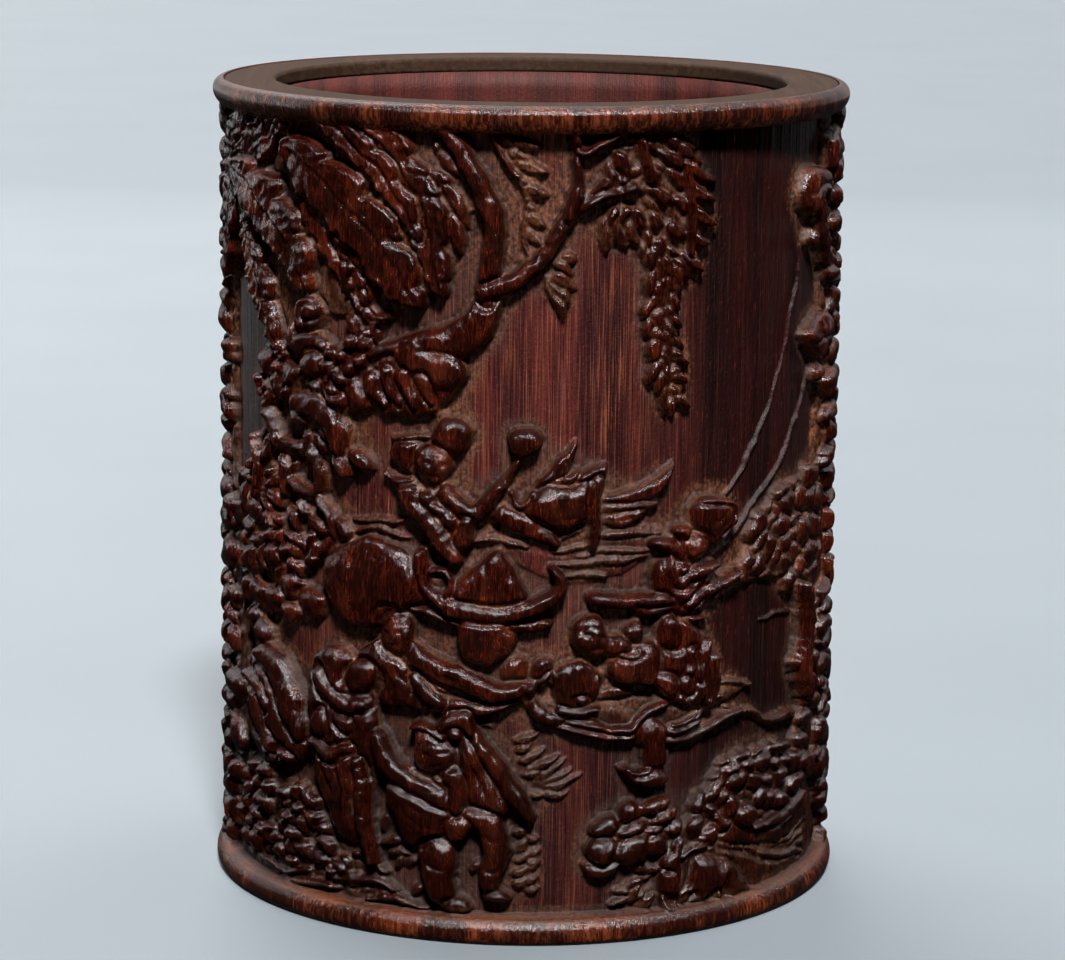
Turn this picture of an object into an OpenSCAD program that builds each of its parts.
// A round brush holder pot: a section of thick bamboo whose outer wall is cut back to leave
// a carved scene standing between a rim bead and a foot bead. A flat hardwood ring is let
// into the mouth, and a round board is let into the foot as the floor.
// The origin is the centre of the foot on the surface it stands on. +Z is up, -Y is the front.

/* [Barrel] */
// Height of the pot from the surface it stands on to the flat of its mouth
pot_h = 158; // [140:1:170]
// Radius of the ground, the plain wall left behind the carving
ground_r = 57.3; // [56:0.1:58]
// Radius of the well that the brushes stand in
well_r = 50; // [46:0.5:51]

/* [Beads] */
// How far the rim bead and the foot bead stand out from the ground
bead_stand = 5.1; // [4.8:0.1:6]
// Height of the part of a bead that curves back to the ground
bead_sweep = 3.2; // [2.8:0.1:4]
// Radius of the round along a bead's outer edge
bead_edge_r = 2; // [1:0.1:2.2]

/* [Mouth ring] */
// Outer radius of the rebate that the flat ring lies in
ring_seat_r = 60.2; // [59:0.1:60.3]
// Thickness of the flat ring
ring_t = 3; // [2:0.1:4]
// Depth of the ring's face below the top of the rim bead
ring_drop = 0.15; // [0.05:0.05:0.3]
// Radius of the round along the ring's inner edge
ring_edge_r = 0.8; // [0.4:0.1:1.2]

/* [Floor] */
// Outer radius of the rebate that the floor board lies in
floor_seat_r = 53; // [52:0.5:54]
// Thickness of the floor board
floor_t = 6; // [4:0.5:8]
// Height of the board's underside above the surface the pot stands on
floor_lift = 2; // [1:0.5:3]

/* [Fit] */
// Width of the glue line around the ring and around the floor board
glue_gap = 0.05; // [0.02:0.01:0.1]

/* [Carving] */
// How far the boldest carving stands out from the ground
carving_stand = 4; // [3:0.1:4.6]

/* [Hidden] */
$fn = 96;
cut = 1;
bead_r = ground_r + bead_stand;
bead_h = bead_edge_r + bead_sweep;
sweep_r = (bead_stand * bead_stand + bead_sweep * bead_sweep) / (2 * bead_stand);

// Rounded motifs, by the middle, the half-width in degrees and the half-height in millimetres
function oval(angle, height, wide, tall) =
    [for (turn = [0:30:330]) [angle + wide * cos(turn), height + tall * sin(turn)]];

// An outline moved to a place, and turned over left to right where way is -1
function placed(outline, angle, height, way) =
    [for (p = outline) [angle + way * p[0], height + p[1]]];

// The trunk of an old pine that leans to the right, from the middle of its foot
PINE = [[-6, 0], [-1, 17], [-6.4, 35], [0.4, 55], [-1.8, 75], [8, 93], [13, 115], [17, 115],
        [14, 93], [6, 75], [9.6, 55], [2.4, 35], [9, 17], [6, 0]];
// Where that pine's pads of needles grow, from the middle of its foot
PINE_PADS = [[22, 69], [-17, 90], [30, 101], [-18, 48], [1, 121]];
// A boy at play who holds one arm up to the right, from the hem of his robe
BOY = [[-6, 3], [-5, 12], [-3.4, 15], [-4, 20], [-3, 23.6], [4, 23.6], [4.6, 16], [8, 20], [11, 21],
       [11, 17.6], [5, 11], [6.8, 3], [4, 1], [6, -7.6], [1, -7.6], [0, 0], [-1, -7.6], [-5.4, -7.6],
       [-3.6, 1]];
// A curl of cloud that trails off to the right
CLOUD = [[-8, -4], [-6, 1.6], [-1, 5], [4, 3.4], [7, 0], [15, -2], [7, -4.6]];
// A plantain leaf that rises from its foot and arches to the right
LEAF = [[-3, 0], [-4, 20], [0, 40], [8, 54], [18, 62], [15, 52], [8, 38], [4, 20], [2, 0]];

// The carving's motifs, each as [share of the boldest stand, outline]. An outline's points are
// [degrees to the right of the front, height above the foot]. Outlines that meet a bead run into it.
MOTIFS = [
    // Plantain leaves under the rim
    [0.55, [[-87, 140], [-80, 148], [-70, 147], [-68, 136], [-75, 121], [-82, 124]]],
    [0.66, [[-69, 146], [-60, 143], [-50, 136], [-41, 122], [-45, 118], [-53, 124], [-62, 132],
            [-68, 138]]],
    [0.7, [[-36, 154], [-24, 154], [-16, 140], [-12.6, 125], [-17, 120], [-23, 132], [-31, 142]]],
    [0.85, [[-49, 151], [-38, 146], [-26, 136], [-17.6, 121], [-21, 117.6], [-31, 126], [-41, 134],
            [-48, 142]]],
    // The old trunk, its upright stem and its long branch
    [0.9, [[-4.6, 126], [-8, 121], [-18, 117], [-30, 113], [-40, 112], [-48, 116], [-51, 108],
           [-49, 96], [-40, 97], [-32, 101], [-24, 99.4], [-15, 101], [-11, 106], [-8, 115]]],
    [0.74, [[-9.8, 122], [-8.4, 136], [-11, 143], [-19, 154], [-14, 154], [-6.4, 144], [-4.4, 136],
            [-5.4, 123]]],
    [0.68, [[-6, 124], [-2, 123.6], [5, 130], [9.6, 138], [17, 143.4], [23, 144], [22, 147],
            [14, 146.4], [6, 141], [-1, 129]]],
    // Willow leaves at the right of the branch, and their hanging tail
    [0.62, [[13, 149], [16, 154], [36, 154], [38, 146], [36, 136], [33, 127], [27, 125], [20, 131],
            [13, 133], [16, 142]]],
    [0.58, [[21, 133], [20, 120], [21.6, 106], [27, 98], [31, 101], [29, 112], [28.4, 124], [30, 133]]],
    // Kites at the right
    [0.64, [[60, 139], [63, 143], [70, 143.6], [78, 140], [74, 135], [66, 134]]],
    [0.6, [[63.5, 110.5], [66, 113], [73, 114.6], [80, 112.5], [79, 107], [71, 101.6], [66, 106]]],
    // The riding boy, his drumstick and the plume on the animal's neck
    [0.86, [[-26, 96], [-20, 96.6], [-17, 100.6], [-12, 100.4], [-10, 96], [-12.6, 91.4], [-10, 84.6],
            [-6, 85.4], [-3.4, 90.8], [-2, 89.8], [-5, 82.4], [-9, 80.2], [-11, 73], [-16, 73],
            [-24, 86], [-26, 90]]],
    [0.57, oval(-0.8, 96.4, 2.8, 2.5)],
    [0.72, [[-7, 83], [0, 88], [8, 96], [9.4, 94], [6, 88], [13, 89], [27, 93], [29, 92], [24, 87],
            [14, 79], [6, 78], [1, 79]]],
    // The buffalo, its horn laid back
    [0.94, [[-40, 66], [-38, 73], [-31, 77], [-22, 75.6], [-17, 71], [-12, 69], [-6, 76], [-1, 70],
            [0, 66.4], [3, 66.8], [4.4, 70], [3.6, 73], [6.8, 71.4], [7.2, 67], [4.4, 64], [-1.4, 62.2],
            [-2, 58], [-5.4, 53.2], [-9, 52.4], [-12, 55.6], [-12.8, 62], [-19, 61.4], [-24, 59],
            [-34, 59.4]]],
    // The boy with the kites, and the cliff he stands on
    [0.5, [[31, 61.6], [43, 69.4], [47, 75], [53, 81], [61, 84.6], [74, 84], [74, 62], [62, 63.4],
           [50, 65.6], [42, 65]]],
    [0.88, [[24, 66], [23.4, 72], [25, 77.4], [28, 79.6], [31, 81], [32, 84], [37, 84.8], [41, 82.6],
            [41.4, 79], [37.4, 74], [36.4, 71], [42, 70.6], [38, 66.4], [34, 62.4], [27, 61.2]]],
    // The boys in the boat, and the post and cup beside them
    [0.46, [[-1, 49.4], [2, 43.6], [8, 40.6], [18, 38.2], [28, 37.2], [37, 39.8], [46, 45.6],
            [37, 47.2], [16, 50]]],
    [0.96, [[8.2, 60], [9.6, 63], [14, 63.6], [20, 62.6], [26, 61.6], [30, 61.2], [35, 57.8],
            [38.8, 50], [37, 43.4], [30, 44.8], [24, 47.4], [16, 48.6], [13.6, 53]]],
    [0.76, [[22, 40], [21.6, 34.6], [17.2, 33.8], [19, 29.6], [26.8, 30.4], [26.6, 40]]],
    [0.65, [[5.2, 49], [5.8, 53.8], [10, 55], [13.4, 52.6], [13.4, 45.2], [6.4, 44.8]]],
    // The boy with the long sleeve
    [0.84, [[-34, 52], [-29, 56.6], [-27, 62], [-22, 62], [-18.6, 56], [-10, 52.4], [-2, 51.2],
            [2.4, 50.8], [2, 48], [-2, 46.4], [-8, 43.4], [-17, 43.4], [-31, 45.2]]],
    // The boy dancing, the robed figure and the one seated on the rocks
    [1, [[-27, 32], [-28.6, 38], [-26, 38.6], [-21.4, 36], [-21, 41], [-17, 42], [-12, 44.2],
         [-8, 42.6], [-3, 33], [1.8, 25.6], [-2, 24], [-2.4, 17], [-3.4, 10], [-2.4, 7.4], [-8, 7.4],
         [-8.4, 14], [-10.4, 20], [-12, 10], [-10.2, 5.2], [-16.6, 5.2], [-17.4, 12], [-19.4, 17],
         [-24, 19.6], [-26.6, 26]]],
    [0.82, [[-44, 48], [-42, 52.4], [-36, 54.4], [-30, 53.2], [-27.8, 46], [-27.8, 34], [-28, 14],
            [-31, 12.8], [-36, 17], [-41, 24], [-44.2, 36]]],
    [0.92, [[-66, 42], [-65, 52], [-62, 58], [-57, 56.8], [-53, 50], [-46, 43], [-43.4, 36],
            [-46, 28.8], [-53, 26.6], [-60, 27.6], [-65.4, 34]]],
    // Rocks under the figures, and rocks and fungus at the lower right
    [0.52, [[-75, 4], [-74.4, 24.6], [-58, 25.4], [-46, 23.4], [-36, 15], [-24, 7], [-20, 4]]],
    [0.56, [[27, 4], [27.4, 13], [31, 19.6], [35, 24.2], [38, 30], [44, 33], [54, 32], [64, 29],
            [74, 24], [74, 4]]],
    [0.7, [[11, 12.6], [10.6, 19], [16, 25], [24, 28], [31, 24], [29, 16], [22, 13.8], [16, 11.4]]],
    // Worn columns of rock that close the front at either side, and the vines beside them
    [0.78, [[71, 4], [69, 30], [73, 60], [76, 100], [79, 154], [101, 154], [97, 140], [101, 118],
            [94, 96], [99, 76], [93, 52], [100, 34], [97, 4]]],
    [0.79, [[-70, 4], [-67.6, 31], [-70.4, 58], [-72, 92], [-76.6, 122], [-81, 154], [-102, 154],
            [-96, 138], [-101, 112], [-95, 92], [-100, 66], [-94, 42], [-100, 24], [-97, 4]]],
    [0.63, [[-77.4, 69.4], [-78.6, 111], [-57, 113.4], [-47, 105], [-37, 97], [-33, 84], [-42, 78],
            [-44, 66], [-58, 59]]],
    // Banks of rock round the back
    [0.51, [[93, 4], [97, 30], [108, 38.4], [122, 36], [133, 22], [134, 4]]],
    [0.53, [[130, 4], [132, 16], [150, 17.4], [173, 15], [173, 4]]],
    [0.49, [[169, 4], [171, 16], [186, 20.4], [204, 19], [215, 14], [215, 4]]],
    [0.54, [[211, 4], [212, 20], [226, 28.4], [240, 30], [256, 26], [266, 4]]],
    // The garden rock and the plantain behind it
    [0.61, placed(LEAF, 188, 40, -1)],
    [0.59, placed(LEAF, 198, 38, 1)],
    [0.67, [[190, 44], [189, 76], [194, 106], [198, 76], [198, 44]]],
    [0.87, [[186, 12], [185, 24], [189, 32], [186, 42], [191, 53], [197, 56], [202, 50], [200, 40],
            [205, 32], [202, 22], [204, 12]]],
    // Boys at play round the back
    [0.89, placed(BOY, 110, 48, 1)],
    [0.91, placed(BOY, 158, 26, 1)],
    [0.83, placed(BOY, 216, 34, 1)],
    [0.93, placed(BOY, 256, 42, -1)],
    // Two old pines, with their pads of needles
    [0.95, placed(PINE, 140, 13, -1)],
    [0.97, placed(PINE, 238, 13, 1)],
    for (pad = PINE_PADS) [0.73, oval(140 - pad[0], 13 + pad[1], 9, 6.4)],
    for (pad = PINE_PADS) [0.75, oval(238 + pad[0], 13 + pad[1], 9, 6.4)],
    // Clouds
    [0.44, placed(CLOUD, 188, 138, -1)],
    [0.45, placed(CLOUD, 204, 120, 1)],
    [0.43, placed(CLOUD, 160, 126, -1)],
];

// Outline of a bead at the height z = 0 to bead_h, with its outer edge at the top
module bead_outline() {
    intersection() {
        translate([bead_r - sweep_r, bead_sweep])
            circle(r = sweep_r);
        square([bead_r, bead_sweep]);
    }
    translate([ground_r - cut, bead_sweep])
        square([bead_stand - bead_edge_r + cut, bead_edge_r]);
    intersection() {
        translate([bead_r - bead_edge_r, bead_sweep])
            circle(r = bead_edge_r);
        translate([0, bead_sweep])
            square([bead_r, bead_edge_r]);
    }
}

// One motif of the carving: the wall left standing inside its outline
module motif(stand, outline) {
    angles = [for (p = outline) p[0]];
    middle = (min(angles) + max(angles)) / 2;
    intersection() {
        cylinder(r = ground_r + stand, h = pot_h);
        rotate([0, 0, middle])
            translate([0, -well_r / 2, 0])
                rotate([90, 0, 0])
                    linear_extrude(height = bead_r)
                        polygon([for (p = outline) [ground_r * sin(p[0] - middle), p[1]]]);
    }
}

// The bamboo section: ground wall, both beads and the carving, open from end to end
module barrel() {
    color("#5a2c1b")
        difference() {
            union() {
                cylinder(r = ground_r, h = pot_h);
                rotate_extrude()
                    translate([0, pot_h - bead_h])
                        bead_outline();
                rotate_extrude()
                    translate([0, bead_h])
                        mirror([0, 1])
                            bead_outline();
                for (m = MOTIFS)
                    motif(m[0] * carving_stand, m[1]);
            }
            translate([0, 0, -cut])
                cylinder(r = well_r, h = pot_h + 2 * cut);
            translate([0, 0, pot_h - ring_t - ring_drop])
                cylinder(r = ring_seat_r, h = ring_t + ring_drop + cut);
            translate([0, 0, -cut])
                cylinder(r = floor_seat_r, h = floor_lift + floor_t + cut);
        }
}

// The flat ring let into the mouth, with its inner edge rounded off
module mouth_ring() {
    color("#5d4b40")
        translate([0, 0, pot_h - ring_drop - ring_t])
            rotate_extrude()
                union() {
                    translate([well_r + ring_edge_r, 0])
                        square([ring_seat_r - glue_gap - well_r - ring_edge_r, ring_t]);
                    translate([well_r, 0])
                        square([ring_edge_r, ring_t - ring_edge_r]);
                    translate([well_r + ring_edge_r, ring_t - ring_edge_r])
                        circle(r = ring_edge_r);
                }
}

// The round board let into the foot from below
module floor_board() {
    color("#54321f")
        translate([0, 0, floor_lift])
            cylinder(r = floor_seat_r - glue_gap, h = floor_t);
}

barrel();
mouth_ring();
floor_board();
